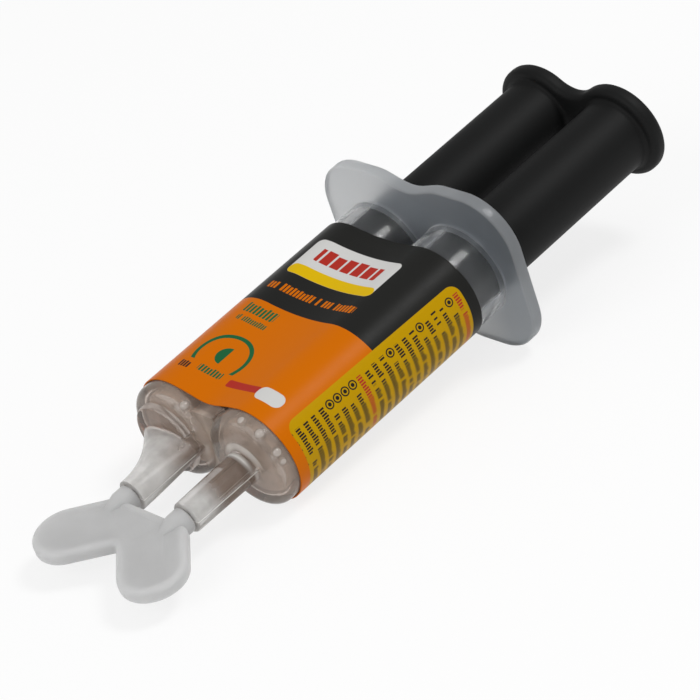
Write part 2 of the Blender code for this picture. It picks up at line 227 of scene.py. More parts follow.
class Shade:
    """A value in a material's nodes. Arithmetic on it adds Math nodes, and node() adds any other."""

    def __init__(self, tree, socket=None):
        self.tree = tree
        self.socket = socket

    def node(self, kind, settings, sockets, output=0):
        made = self.tree.nodes.new(kind)
        for name, setting in settings.items():
            setattr(made, name, setting)
        for name, value in sockets.items():
            if isinstance(value, Shade):
                self.tree.links.new(value.socket, made.inputs[name])
            else:
                made.inputs[name].default_value = value
        return Shade(self.tree, made.outputs[output])

    def maths(self, operation, first, second=0.0):
        return self.node("ShaderNodeMath", {"operation": operation}, {0: first, 1: second})

    def __add__(self, other):
        return self.maths("ADD", self, other)

    def __radd__(self, other):
        return self.maths("ADD", other, self)

    def __sub__(self, other):
        return self.maths("SUBTRACT", self, other)

    def __rsub__(self, other):
        return self.maths("SUBTRACT", other, self)

    def __mul__(self, other):
        return self.maths("MULTIPLY", self, other)

    def __rmul__(self, other):
        return self.maths("MULTIPLY", other, self)

    def __truediv__(self, other):
        return self.maths("DIVIDE", self, other)

    def __abs__(self):
        return self.maths("ABSOLUTE", self)

    def at_least(self, other):
        return self.maths("MAXIMUM", self, other)

    def at_most(self, other):
        return self.maths("MINIMUM", self, other)

    def floor(self):
        return self.maths("FLOOR", self)

    def cosine(self):
        return self.maths("COSINE", self)

    def diagonal(self, other):
        """The length of the line that runs this far one way and another value's length across it."""
        return self.maths("SQRT", self * self + other * other)

    def clipped(self):
        return self.at_least(0.0).at_most(1.0)

    def stepped(self, edge):
        """0 where this value is below zero and 1 where it is above, with a soft edge of this width."""
        return (0.5 + self / edge).clipped()

    def mixed(self, first, second):
        """The first colour where this value is 0, and the second where it is 1."""
        sockets = {mix_share_socket: self, mix_first_socket: first, mix_second_socket: second}
        return self.node("ShaderNodeMix", {"data_type": "RGBA"}, sockets, mix_colour_output)

    def noise(self, place, scale, detail=soft_detail, stretch=unstretched):
        stretched = self.node("ShaderNodeMapping", {}, {"Vector": place, "Scale": stretch})
        return self.node("ShaderNodeTexNoise", {}, {"Vector": stretched, "Scale": scale, "Detail": detail})

    def bump(self, height, distance, strength):
        sockets = {"Height": height, "Distance": distance, "Strength": strength}
        return self.node("ShaderNodeBump", {}, sockets)


def new_finish(name):
    """A material with its nodes, and the syringe's own axes as across, up and along."""
    made = bpy.data.materials.new(name)
    made.use_nodes = True
    shade = Shade(made.node_tree)
    object_place = shade.node("ShaderNodeTexCoord", {}, {}, "Object")
    lying_angles = tuple(lying_turn.to_euler())
    place = shade.node(
        "ShaderNodeMapping",
        {"vector_type": "TEXTURE"},
        {"Vector": object_place, "Location": tuple(syringe_start), "Rotation": lying_angles},
    )
    return made, shade, place


def split(shade, place):
    """The three axes of a place in the drawing, as separate values."""
    axes = shade.node("ShaderNodeSeparateXYZ", {}, {"Vector": place})
    return [Shade(shade.tree, socket) for socket in axes.socket.node.outputs]


def set_shader(shade, **sockets):
    """Values or links for the sockets of a material's own shader, named with _ for spaces."""
    shader = shade.tree.nodes["Principled BSDF"]
    for name, value in sockets.items():
        socket = shader.inputs[name.replace("_", " ")]
        if isinstance(value, Shade):
            shade.tree.links.new(value.socket, socket)
        else:
            socket.default_value = value
    return Shade(shade.tree, shader.outputs[0])


def tube_front(rear):
    """Stations of a tube's outside, from its rear end to the flat of its round-edged front wall."""
    edge_centre = (barrel_radius - front_rounding, front_rounding)
    rear_centre = (barrel_radius + flange_fillet, barrel_length + fillet_sink - flange_fillet)
    stations = [(barrel_radius + flange_fillet, rear)]
    stations += arc(rear_centre, flange_fillet, quarter_turn, 2 * quarter_turn, fillet_steps)
    return stations + arc(edge_centre, front_rounding, 0.0, -quarter_turn)


def straight_nozzle():
    """Stations of the plain nozzle, with a fillet at its root and a rounded tip."""
    root_centre = (nozzle_root_radius + nozzle_root_fillet, -nozzle_root_fillet)
    tip_centre = (nozzle_tip_radius - nozzle_tip_rounding, nozzle_tip_rounding - nozzle_length)
    stations = arc(root_centre, nozzle_root_fillet, quarter_turn, 2 * quarter_turn)
    return stations + arc(tip_centre, nozzle_tip_rounding, 0.0, -quarter_turn, tip_steps)


def nozzle_boss():
    """Stations of the low boss under the fanned nozzle."""
    edge_centre = (boss_radius - boss_rounding, boss_rounding - boss_height)
    return [(boss_radius, 0.0)] + arc(edge_centre, boss_rounding, 0.0, -quarter_turn, fillet_steps)


def fanned(piece, tip_radius, base_width, base_along):
    """Stretch a tube outward towards its base, with its inner side left straight."""
    for vertex in piece.data.vertices:
        run = (nozzle_length + vertex.co.z) / (nozzle_length + base_along)
        spread = (base_width / (2 * tip_radius) - 1.0) * min(max(run, 0.0), 1.0) ** 2
        inner_side = fan_tip_across - tip_radius
        vertex.co.x = inner_side + (vertex.co.x - inner_side) * (1.0 + spread)
    return piece


def flange_outline():
    """A rounded rectangle whose long edges dip between the tubes."""
    corner = (flange_inset, flange_rise)
    half = arc(corner, flange_corner_radius, 0.0, quarter_turn, flange_corner_steps)
    for step in range(2 * flange_waist_steps + 1):
        share = 1.0 - step / flange_waist_steps
        dip = flange_waist_depth * math.cos(quarter_turn * share) ** 2
        half.append((flange_waist_width / 2 * share, flange_height / 2 - dip))
    corner = (-flange_inset, flange_rise)
    half += arc(corner, flange_corner_radius, quarter_turn, 2 * quarter_turn, flange_corner_steps)
    return half + [(-point_across, -point_up) for point_across, point_up in half]


def block_between(width, height, start, end):
    """A plain block between the tubes, centred on the syringe's axis."""
    bpy.ops.mesh.primitive_cube_add(size=1.0, location=(0.0, 0.0, (start + end) / 2))
    block = bpy.context.object
    block.dimensions = (width, height, end - start)
    bpy.ops.object.transform_apply(location=True, rotation=True, scale=True)
    return block


fan_root = front_wall / 2
fan_run = fan_root + nozzle_length
fan_places = [fan_root - fan_run * step / fan_steps for step in range(fan_steps + 1)]
fan_stations = [(nozzle_tip_radius, fan_place) for fan_place in fan_places]
fan_hollow_radius = nozzle_tip_radius - fan_wall
fan_hollow_run = fan_hollow_end - boss_height
fan_hollow_stations = []
for step in range(fan_hollow_steps + 1):
    fan_hollow_stations.append((fan_hollow_radius, -boss_height - fan_hollow_run * step / fan_hollow_steps))
barrel = turned("barrel_moulding", tube_front(flange_middle) + straight_nozzle(), hardener_across)
fused(barrel, turned("resin_tube", tube_front(flange_middle) + nozzle_boss(), resin_across))
fused(barrel, block_between(web_width, web_height, front_wall, flange_middle))
fused(barrel, block_between(bridge_width, bridge_height, bridge_start, bridge_end))
flange = rounded(pressed("flange", flange_outline(), flange_thickness, barrel_length), flange_rounding)
fused(barrel, flange)
fan = turned("fan", fan_stations, fan_tip_across)
fused(barrel, fanned(fan, nozzle_tip_radius, fan_base_width, -boss_height))
bore_centre = (bore_radius - bore_floor_rounding, front_wall + bore_floor_rounding)
bore_stations = [(bore_radius, flange_rear + cut_overrun)]
bore_stations += arc(bore_centre, bore_floor_rounding, 0.0, -quarter_turn, fillet_steps)
outlet_ends = (front_wall + cut_overrun, -nozzle_length - cut_overrun)
outlet_stations = [(nozzle_bore_radius, outlet_end) for outlet_end in outlet_ends]
for tube_across, tip_across in ((hardener_across, hardener_across), (resin_across, fan_tip_across)):
    fused(barrel, turned("bore", bore_stations, tube_across), "DIFFERENCE")
    fused(barrel, turned("outlet", outlet_stations, tip_across, small_round_steps), "DIFFERENCE")
fan_hollow = turned("fan_hollow", fan_hollow_stations, fan_tip_across, fan_hollow_round_steps)
fanned(fan_hollow, fan_hollow_radius, fan_base_width - 2 * fan_wall, -boss_height)
fused(barrel, fan_hollow, "DIFFERENCE")

clear_colour = (0.95, 0.94, 0.93, 1.0)
clouded_colour = (0.90, 0.89, 0.88, 1.0)
nose_tint = (0.80, 0.735, 0.69, 1.0)
flange_tint = (0.68, 0.675, 0.66, 1.0)
painted_shade_ear_tint = (0.25, 0.262, 0.272, 1.0)
painted_shade_ear_reach = 0.012
tube_haze_colour = (0.46, 0.49, 0.52, 1.0)
nose_haze_colour = (0.560, 0.462, 0.390, 1.0)
glue_and_shade_haze_colour = (0.240, 0.178, 0.142, 1.0)
nozzle_haze_colour = (0.760, 0.745, 0.725, 1.0)
flange_haze_colour = (0.48, 0.53, 0.59, 1.0)
rim_highlight_colour = (0.66, 0.69, 0.72, 1.0)
seam_and_reflection_colour = (0.80, 0.79, 0.76, 1.0)
tube_haze = 0.04
flow_haze = 0.06
nose_haze = 0.24
nozzle_haze = 0.40
boss_brown = 0.9
bridge_painted_light_haze = 0.40
seam_haze = 0.30
mottle_haze = 0.34
flange_haze = 0.19
ear_shade_haze_slope = 6.0
rim_highlight_haze = 0.06
root_reflection_haze = 0.55
root_reflection_inside = 0.0016
root_reflection_outside = 0.0035
root_reflection_along = -0.0004
root_reflection_reach = 0.0006
root_reflection_edge = 0.0006
root_reflection_rise = 0.0018
filled_along = -0.0068
filled_edge = 0.0028
fan_inner_across = 0.0010
fan_inner_edge = 0.0034
fan_base_along = -0.0070
fan_base_edge = 0.0045
rim_width = 0.0004
seam_width = 0.00009
seam_edge = 0.00005
rim_edge = 0.0002
nose_end = 0.0060
zone_edge = 0.0004
flow_scale = 260.0
flow_stretch = (1.0, 1.0, 0.25)
flow_bump = 0.00005
flow_bump_strength = 0.25
scuff_scale = 1400.0
mottle_scale = 640.0
clear_roughness = 0.05
clear_scuffing = 0.12
flange_frost = 0.36
clear_refraction = 1.20
clear_coat = 0.25
nozzle_coat = 0.04
coat_roughness = 0.15
haze_roughness = 0.30
haze_scuffing = 0.15
nozzle_frost = 0.20
haze_specular = 0.25
clear_plastic, shade, place = new_finish("clear_plastic")
across, up, along = split(shade, place)
flow = shade.noise(place, flow_scale, fine_detail, flow_stretch)
scuffs = shade.noise(place, scuff_scale, fine_detail)
mottle = shade.noise(place, mottle_scale)
in_flange = ((along - barrel_length) / zone_edge + 1.0).clipped()
in_nose = ((nose_end - along) / zone_edge).clipped()
in_fan = (across / zone_edge).clipped()
in_nozzles = ((along + boss_height * in_fan) / -zone_edge).clipped()
nose_clear = (in_nose - in_nozzles).mixed(flow.mixed(clouded_colour, clear_colour), nose_tint)
# Painted shade: the flange's tint deepens towards the hardener side's ear, standing in for the tubes' shadow
# on it.
flange_tint_and_ear_shade = (across / -painted_shade_ear_reach).clipped().mixed(flange_tint, painted_shade_ear_tint)
clear = set_shader(
    shade,
    Base_Color=in_flange.mixed(nose_clear, flange_tint_and_ear_shade),
    Roughness=clear_roughness + clear_scuffing * scuffs + flange_frost * in_flange,
    IOR=clear_refraction,
    Transmission_Weight=1.0,
    Coat_Weight=clear_coat - (clear_coat - nozzle_coat) * in_nozzles,
    Coat_Roughness=coat_roughness,
    Normal=shade.bump(flow, flow_bump, flow_bump_strength),
)
# Painted reflection: a pale ring on the top of the straight nozzle's root stands in for the bright
# reflection in its thick clear wall.
from_nozzle = (across - hardener_across).diagonal(up)
from_ring = abs(abs(along - root_reflection_along) - root_reflection_reach)
off_bore = ((from_nozzle - root_reflection_inside) / zone_edge).clipped()
off_face = ((root_reflection_outside - from_nozzle) / zone_edge).clipped()
on_top = (up / root_reflection_rise).clipped()
painted_root_reflection = on_top * off_bore * off_face * (1.0 - from_ring / root_reflection_edge).clipped()
in_boss = (along / -zone_edge).clipped() - in_nozzles
in_bridge = in_nose * (1.0 - abs(across) / (bridge_width / 2)).clipped()
on_seam = in_nozzles * ((seam_width - abs(up)) / seam_edge).clipped()
filled = (along - filled_along).stepped(filled_edge)
# Painted shade, partly glue seen through: the fan's inner side near its base is darkened with the glue's
# brown; in the straight nozzle the brown is the glue alone.
inner_side = (1.0 - (across - fan_inner_across) / fan_inner_edge).clipped()
near_base = ((along - fan_base_along) / fan_base_edge).clipped()
glue_and_fan_shade = in_fan.mixed(filled, inner_side * near_base)
nozzle_colour = glue_and_fan_shade.mixed(nozzle_haze_colour, glue_and_shade_haze_colour)
waist_share = (abs(across) / (flange_waist_width / 2)).at_most(1.0)
waist_wave = (waist_share * quarter_turn).cosine()
waist_dip = flange_waist_depth * waist_wave * waist_wave
beyond_side = (abs(across) - flange_inset).at_least(0.0)
beyond_top = (abs(up) + waist_dip - flange_rise).at_least(0.0)
from_rim = beyond_side.diagonal(beyond_top) - flange_corner_radius
# Painted highlight: a pale band along the flange's outline stands in for the bright edge lines of its
# rounded rim.
on_rim_highlight = in_flange * ((from_rim + rim_width) / rim_edge).clipped()
haze_colour = in_nose.mixed(tube_haze_colour, nose_haze_colour)
haze_colour = (boss_brown * in_boss).mixed(haze_colour, glue_and_shade_haze_colour)
haze_colour = in_nozzles.mixed(haze_colour, nozzle_colour)
haze_colour = in_flange.mixed(haze_colour, flange_haze_colour)
haze_colour = on_rim_highlight.mixed(haze_colour, rim_highlight_colour)
# The pale colour marks the real mould seam along the nozzles and the painted reflection at the straight
# nozzle's root.
haze_colour = painted_root_reflection.at_least(on_seam).mixed(haze_colour, seam_and_reflection_colour)
dullness = haze_roughness + haze_scuffing * scuffs + nozzle_frost * in_nozzles
hazy = shade.node(
    "ShaderNodeBsdfPrincipled",
    {},
    {"Base Color": haze_colour, "Roughness": dullness, "Specular IOR Level": haze_specular},
)
# Painted shade: the flange is less milky towards the hardener side, so its darker tint shows more on that
# ear.
flange_haze_and_ear_shade = flange_haze + ear_shade_haze_slope * across.at_most(0.0)
haze = tube_haze + flow_haze * flow + nose_haze * in_nose + flange_haze_and_ear_shade * in_flange + rim_highlight_haze * on_rim_highlight
# Painted light: extra haze between the tubes lightens the valley that the label and tubes shade.
haze = haze + (nozzle_haze - nose_haze) * in_nozzles + bridge_painted_light_haze * in_bridge
haze = haze + root_reflection_haze * painted_root_reflection + seam_haze * on_seam + mottle_haze * in_nose * (mottle - 0.5)
mixed_plastic = shade.node("ShaderNodeMixShader", {}, {0: haze.clipped(), 1: clear, 2: hazy})
shade.tree.links.new(mixed_plastic.socket, shade.tree.nodes["Material Output"].inputs["Surface"])
laid_down(barrel, "syringe_body", clear_plastic)
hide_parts("twin_barrel")

# Wall blisters: five drops of air caught in the skin of the two front walls when the barrel was moulded.
# Each is turned, and they are joined into one piece. A blister's turn is its angle round its tube.
blister_radius = 0.00070
blister_shrink = 0.00004
blister_ring = 0.00617
blister_along = 0.00123
blister_open = 1.40
blister_steps = 12
blister_round_steps = 24
resin_blister_turns = (2.20,)
hardener_blister_turns = (2.17, 2.64, 1.70, 2.85)
blister_deep_colour = (0.34, 0.29, 0.255, 1.0)
blister_pale_colour = (0.50, 0.45, 0.41, 1.0)
blister_shimmer_scale = 2400.0
blister_roughness = 0.10
blister_shimmer_roughness = 0.10
blister_coat = 0.5

drops = []
for tube_across, turns in ((resin_across, resin_blister_turns), (hardener_across, hardener_blister_turns)):
    for number, turn in enumerate(turns):
        radius = blister_radius - blister_shrink * number
        stations = arc((0.0, blister_along), radius, blister_open, -blister_open, blister_steps)
        drop = turned("blister", stations, tube_across + blister_ring * math.cos(turn), blister_round_steps)
        for vertex in drop.data.vertices:
            vertex.co.y += blister_ring * math.sin(turn)
        drops.append(drop)
bpy.ops.object.select_all(action="DESELECT")
for drop in drops:
    drop.select_set(True)
blisters = drops[0]
bpy.context.view_layer.objects.active = blisters
bpy.ops.object.join()
blisters.name = "wall_blisters"

air_skin, shade, place = new_finish("air_skin")
shimmer = shade.noise(place, blister_shimmer_scale)
set_shader(
    shade,
    Base_Color=shimmer.mixed(blister_deep_colour, blister_pale_colour),
    Roughness=blister_roughness + blister_shimmer_roughness * shimmer,
    Coat_Weight=blister_coat,
)
laid_down(blisters, "syringe_body", air_skin)

# Label: a printed film wrapped once round both tubes, with its seam in the lower valley. The film is drawn
# along the tubes from one open ring of edges, which holds the distance round the label, and thickened.
# Its print is plain: fields, bars, an open ring, dots and rows of strokes, placed by that distance.
label_radius = 0.006875
label_valley_radius = 0.029575
label_thickness = 0.000145
label_start = 0.0023
label_length = 0.0339
label_rows = 12
label_seam = 0.0001
label_sag = 0.00055
label_sag_width = 0.0046
label_sag_depth = 0.0070
label_valley_steps = 12
label_lobe_steps = 64
label_lean = math.acos(barrel_half_spacing / (label_radius + label_valley_radius))
label_valley_height = (label_radius + label_valley_radius) * math.sin(label_lean)

lobe_turn = math.pi - label_lean
valley_centre = (0.0, label_valley_height)
label_half = arc(valley_centre, label_valley_radius, -quarter_turn, -label_lean, label_valley_steps)
label_half += arc((barrel_half_spacing, 0.0), label_radius, lobe_turn, -lobe_turn, label_lobe_steps)[1:]
valley_centre = (0.0, -label_valley_height)
label_half += arc(valley_centre, label_valley_radius, label_lean, quarter_turn, label_valley_steps)[1:]
label_half[-1] = (label_seam / 2, label_half[-1][1])
label_run = [0.0]
for point, next_point in zip(label_half, label_half[1:]):
    label_run.append(label_run[-1] + math.dist(point, next_point))
other_half = [(-point_across, point_up) for point_across, point_up in reversed(label_half[1:])]
label_ring = other_half + label_half
label_distances = [-run for run in reversed(label_run[1:])] + label_run

bpy.ops.mesh.primitive_circle_add(vertices=len(label_ring), fill_type="NOTHING")
label = bpy.context.object
label.name = "label_film"
around_values = label.data.attributes.new("around", "FLOAT", "POINT")
for vertex, (point_across, point_up) in zip(label.data.vertices, label_ring):
    vertex.co = (point_across, point_up, label_start)
    around_values.data[vertex.index].value = label_distances[vertex.index]
for element in list(label.data.vertices) + list(label.data.edges):
    element.select = False
# The edge that closes the ring lies across the seam and is taken out.
for edge in label.data.edges:
    edge.select = abs(edge.vertices[0] - edge.vertices[1]) > 1
bpy.ops.object.mode_set(mode="EDIT")
bpy.ops.mesh.select_mode(type="EDGE")
bpy.ops.mesh.delete(type="EDGE")
bpy.ops.mesh.select_all(action="SELECT")
row_rise = (0.0, 0.0, label_length / label_rows)
for row in range(label_rows):
    bpy.ops.mesh.extrude_region_move(TRANSFORM_OT_translate={"value": row_rise})
close_edit()
for vertex in label.data.vertices:
    beside = min(abs(vertex.co.x) / label_sag_width, 1.0)
    behind = min((vertex.co.z - label_start) / label_sag_depth, 1.0)
    sag = label_sag * math.cos(quarter_turn * beside) ** 2 * (1.0 - behind) ** 2
    vertex.co.y -= math.copysign(sag, vertex.co.y)
film = label.modifiers.new("film", "SOLIDIFY")
film.thickness = label_thickness
film.offset = 0.0
bpy.ops.object.modifier_apply(modifier=film.name)

orange_ink = (0.605, 0.142, 0.0, 1.0)
black_ink = (0.0175, 0.0175, 0.0165, 1.0)
yellow_ink = (0.50, 0.287, 0.001, 1.0)
bright_yellow_ink = (0.69, 0.445, 0.002, 1.0)
white_ink = (0.61, 0.605, 0.59, 1.0)
green_ink = (0.014, 0.117, 0.042, 1.0)
red_ink = (0.41, 0.028, 0.018, 1.0)
print_edge = 0.00006
bar_corner = 0.0003
colour_change_along = 0.0196
plate_middle = (0.0008, 0.0290)
plate_half = (0.0075, 0.0035)
plate_corner = 0.0009
strip_middle = (0.0008, 0.0264)
strip_half = (0.0075, 0.0009)
plate_row_middle = (0.0008, 0.0299)
plate_row_half = (0.0054, 0.0013)
plate_row_pitch = 0.0018
plate_row_share = 0.41
wide_row_middle = (0.0008, 0.0228)
wide_row_half = (0.0077, 0.0007)
wide_row_pitch = 0.00056
upper_row_middle = (0.0052, 0.0179)
upper_row_half = (0.0026, 0.0009)
upper_row_pitch = 0.00056
lower_row_middle = (0.0048, 0.0159)
lower_row_half = (0.0027, 0.0005)
lower_row_pitch = 0.00036
ring_middle = (0.0037, 0.0091)
ring_radius = 0.0041
ring_width = 0.0006
ring_open_along = 0.0072
disc_middle = (0.0033, 0.0095)
disc_radius = 0.0015
ring_row_middle = (0.0032, 0.0065)
ring_row_half = (0.0020, 0.0006)
ring_row_pitch = 0.00050
side_row_middle = (0.0072, 0.0060)
side_row_half = (0.0009, 0.0006)
side_row_pitch = 0.00045
low_bar_middle = (-0.0033, 0.0060)
low_bar_half = (0.0030, 0.0006)
low_plate_middle = (-0.0083, 0.0058)
low_plate_half = (0.0021, 0.0011)
low_plate_corner = 0.0010
panel_middle = (-0.0210, 0.0192)
panel_half = (0.0083, 0.0153)
panel_corner = 0.0015
panel_lean = 0.021
line_pitch = 0.001365
line_half = 0.00044
line_stroke_pitch = 0.00037
first_line_along = 0.00429
line_start = 0.0012
dotted_line_start = 0.0030
line_end = 0.0155
heading_lines = (8.0, 21.0)
dot_from_edge = 0.0016
dot_radius = 0.00062
dot_line = 0.00018
dot_core = 0.00026
dot_lines = (4.0, 5.0, 6.0, 7.0, 12.0, 16.0, 20.0)
stroke_share = 0.33
small_trim = 0.75
large_trim = 0.45
stroke_gap_chance = 0.88
row_step = 0.00132
stroke_gap_edge = 0.01
ink_cloud_scale = 420.0
ink_cloud_bump = 0.00004
ink_cloud_bump_strength = 0.30
handling_scale = 2600.0
film_roughness = 0.26
ink_cloud_roughness = 0.10
handling_roughness = 0.06
film_specular = 0.05

printed_film, shade, place = new_finish("printed_film")
across, up, along = split(shade, place)
around = shade.node("ShaderNodeAttribute", {"attribute_name": "around"}, {}, "Fac")
ink_clouds = shade.noise(place, ink_cloud_scale, fine_detail)
handling = shade.noise(place, handling_scale, fine_detail)


def plate_mask(middle, half, corner, beside=0.0):
    """1 inside a rounded rectangle on the label, 0 outside it."""
    side = (abs(around - middle[0] - beside) - (half[0] - corner)).at_least(0.0)
    end = (abs(along - middle[1]) - (half[1] - corner)).at_least(0.0)
    return (corner - side.diagonal(end)).stepped(print_edge)


def disc_mask(middle, radius):
    """1 inside a disc on the label, 0 outside it."""
    from_middle = (around - middle[0]).diagonal(along - middle[1])
    return (radius - from_middle).stepped(print_edge)


def stroke_mask(from_line, half, pitch, row, trim, share=stroke_share):
    """Plain upright strokes on a line, each of its own height, with a few of them left out."""
    column = around / pitch
    cell = column.floor()
    spot = shade.node("ShaderNodeCombineXYZ", {}, {"X": cell, "Y": row})
    chance = shade.node("ShaderNodeTexWhiteNoise", {"noise_dimensions": "2D"}, {"Vector": spot})
    tall = (half * (1.0 - trim * chance) - from_line).stepped(print_edge)
    wide = ((share - abs(column - cell - 0.5)) * pitch).stepped(print_edge)
    on_line = (half + from_line).stepped(print_edge)
    return tall * on_line * wide * ((stroke_gap_chance - chance) / stroke_gap_edge).clipped()


def stroke_row(middle, half, pitch, share=stroke_share):
    """A row of such strokes inside a bar's own length."""
    in_bar = plate_mask(middle, half, bar_corner)
    from_line = along - middle[1]
    return in_bar * stroke_mask(from_line, half[1], pitch, middle[1] / row_step, large_trim, share)


ink = (along - colour_change_along).stepped(print_edge).mixed(orange_ink, black_ink)
ink = plate_mask(plate_middle, plate_half, plate_corner).mixed(ink, white_ink)
ink = plate_mask(strip_middle, strip_half, plate_corner).mixed(ink, bright_yellow_ink)
ink = stroke_row(plate_row_middle, plate_row_half, plate_row_pitch, plate_row_share).mixed(ink, red_ink)
ink = stroke_row(wide_row_middle, wide_row_half, wide_row_pitch).mixed(ink, orange_ink)
ink = stroke_row(upper_row_middle, upper_row_half, upper_row_pitch).mixed(ink, green_ink)
ink = stroke_row(lower_row_middle, lower_row_half, lower_row_pitch).mixed(ink, green_ink)
ring = disc_mask(ring_middle, ring_radius) - disc_mask(ring_middle, ring_radius - ring_width)
ring = ring * (along - ring_open_along).stepped(print_edge)
half_disc = disc_mask(disc_middle, disc_radius) * (around - disc_middle[0]).stepped(print_edge)
ink = (ring + half_disc).clipped().mixed(ink, green_ink)
ink = stroke_row(ring_row_middle, ring_row_half, ring_row_pitch).mixed(ink, green_ink)
ink = stroke_row(side_row_middle, side_row_half, side_row_pitch).mixed(ink, black_ink)
ink = plate_mask(low_bar_middle, low_bar_half, bar_corner).mixed(ink, red_ink)
ink = plate_mask(low_plate_middle, low_plate_half, low_plate_corner).mixed(ink, white_ink)
leaning = (along - panel_middle[1]) * -panel_lean
panel = plate_mask(panel_middle, panel_half, panel_corner, leaning)
ink = panel.mixed(ink, yellow_ink)
line_place = (along - first_line_along) / line_pitch
line_number = line_place.floor()
from_line = (line_place - line_number - 0.5) * line_pitch
from_edge = panel_middle[0] + panel_half[0] + leaning - around


def line_mask(numbers):
    """1 on the panel's lines of these numbers, 0 on its other lines."""
    masks = [(1.0 - abs(line_number - number)).clipped() for number in numbers]
    return sum(masks[1:], masks[0])


dotted = line_mask(dot_lines)
strokes_start = line_start + (dotted_line_start - line_start) * dotted
within = (from_edge - strokes_start).stepped(print_edge) * (line_end - from_edge).stepped(print_edge)
lines = within * stroke_mask(from_line, line_half, line_stroke_pitch, line_number, small_trim)
from_dot = (from_edge - dot_from_edge).diagonal(from_line)
in_dot_line = dot_line / 2 - abs(from_dot - dot_radius + dot_line / 2)
dots = dotted * in_dot_line.at_least(dot_core - from_dot).stepped(print_edge)
line_colour = line_mask(heading_lines).mixed(black_ink, red_ink)
ink = ((lines + dots).clipped() * panel).mixed(ink, line_colour)
set_shader(
    shade,
    Base_Color=ink,
    Roughness=film_roughness + ink_cloud_roughness * ink_clouds + handling_roughness * handling,
    Specular_IOR_Level=film_specular,
    Normal=shade.bump(ink_clouds, ink_cloud_bump, ink_cloud_bump_strength),
)
laid_down(label, "syringe_body", printed_film)
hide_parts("label")

# Adhesive: a thick cloudy resin and its hardener, one charge in each tube, and a thread of hardener in
# the straight nozzle. Each charge is turned to the bore with rounded ends.
charge_radius = 0.0052
charge_front = 0.0018
charge_rear = 0.0304
charge_rounding = 0.0009
charge_left = 0.0001
thread_radius = 0.0011
thread_end = -0.0060
thread_rounding = 0.0003
resin_pale_colour = (0.74, 0.575, 0.465, 1.0)
resin_deep_colour = (0.56, 0.43, 0.345, 1.0)
hardener_pale_colour = (0.70, 0.57, 0.48, 1.0)
hardener_deep_colour = (0.54, 0.435, 0.365, 1.0)
adhesive_cloud_scale = 300.0
adhesive_cloud_stretch = (1.0, 1.0, 0.5)
adhesive_cloud_bump = 0.00010
adhesive_cloud_bump_strength = 0.25
adhesive_roughness = 0.25
adhesive_cloud_roughness = 0.10
adhesive_specular = 0.3


def charge_stations():
    """Stations of a charge from its rear to its front, with both ends rounded."""
    rear_centre = (charge_radius - charge_rounding, charge_rear - charge_rounding)
    front_centre = (charge_radius - charge_rounding, charge_front + charge_rounding)
    stations = arc(rear_centre, charge_rounding, quarter_turn, 0.0, fillet_steps)
    return stations + arc(front_centre, charge_rounding, 0.0, -quarter_turn, fillet_steps)


def adhesive_finish(name, pale_colour, deep_colour):
    """A cloudy, glossy liquid."""
    made, shade, place = new_finish(name)
    clouds = shade.noise(place, adhesive_cloud_scale, fine_detail, adhesive_cloud_stretch)
    set_shader(
        shade,
        Base_Color=clouds.mixed(deep_colour, pale_colour),
        Roughness=adhesive_roughness + adhesive_cloud_roughness * clouds,
        Specular_IOR_Level=adhesive_specular,
        Normal=shade.bump(clouds, adhesive_cloud_bump, adhesive_cloud_bump_strength),
    )
    return made


resin = adhesive_finish("resin", resin_pale_colour, resin_deep_colour)
hardener = adhesive_finish("hardener", hardener_pale_colour, hardener_deep_colour)
charges = (
    ("resin_charge", resin_across, "resin", resin),
    ("hardener_charge", hardener_across, "hardener", hardener),
)
for node_name, tube_across, slot_name, finish in charges:
    charge = turned(node_name + "_fill", charge_stations(), tube_across)
    laid_down(charge, "syringe_body", finish)
    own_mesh(charge)
    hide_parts(node_name)
thread_centre = (thread_radius - thread_rounding, thread_end + thread_rounding)
thread_stations = [(thread_radius, charge_front - charge_left)]
thread_stations += arc(thread_centre, thread_rounding, 0.0, -quarter_turn, tip_steps)
thread = turned("hardener_thread", thread_stations, hardener_across, small_round_steps)
laid_down(thread, "syringe_body", hardener)

# Pistons: two soft black plastic plugs, each turned with two sealing lips, a groove between them and a
# low domed nose, and snapped by its stem into the open front end of a plunger rod.
piston_radius = 0.00515
piston_front = 0.0306
piston_rear = 0.0339
piston_groove_depth = 0.0005
piston_lip = 0.0009
piston_lip_rounding = 0.0003
piston_nose = 0.0005
piston_nose_radius = 0.0046
piston_stem_radius = 0.0037
piston_stem_length = 0.0030
piston_lip_steps = 3
piston_nose_steps = 7
piston_deep_colour = (0.022, 0.022, 0.022, 1.0)
piston_pale_colour = (0.034, 0.034, 0.034, 1.0)
piston_grain_scale = 3000.0
piston_roughness = 0.42
piston_grain_roughness = 0.12
nose_start = piston_front + piston_nose
groove_radius = piston_radius - piston_groove_depth

stem_end = piston_rear + piston_stem_length
piston_stations = [(piston_stem_radius, stem_end), (piston_stem_radius, piston_rear)]
for lip_rear in (piston_rear, nose_start + piston_lip):
    rear_centre = (piston_radius - piston_lip_rounding, lip_rear - piston_lip_rounding)
    front_centre = (piston_radius - piston_lip_rounding, lip_rear - piston_lip + piston_lip_rounding)
    piston_stations.append((groove_radius, lip_rear))
    piston_stations += arc(rear_centre, piston_lip_rounding, quarter_turn, 0.0, piston_lip_steps)
    piston_stations += arc(front_centre, piston_lip_rounding, 0.0, -quarter_turn, piston_lip_steps)
    piston_stations.append((groove_radius, lip_rear - piston_lip))
for step in range(1, piston_nose_steps):
    rise = step / piston_nose_steps
    dome_radius = piston_nose_radius * math.sqrt(1.0 - rise * rise)
    piston_stations.append((dome_radius, nose_start - piston_nose * rise))

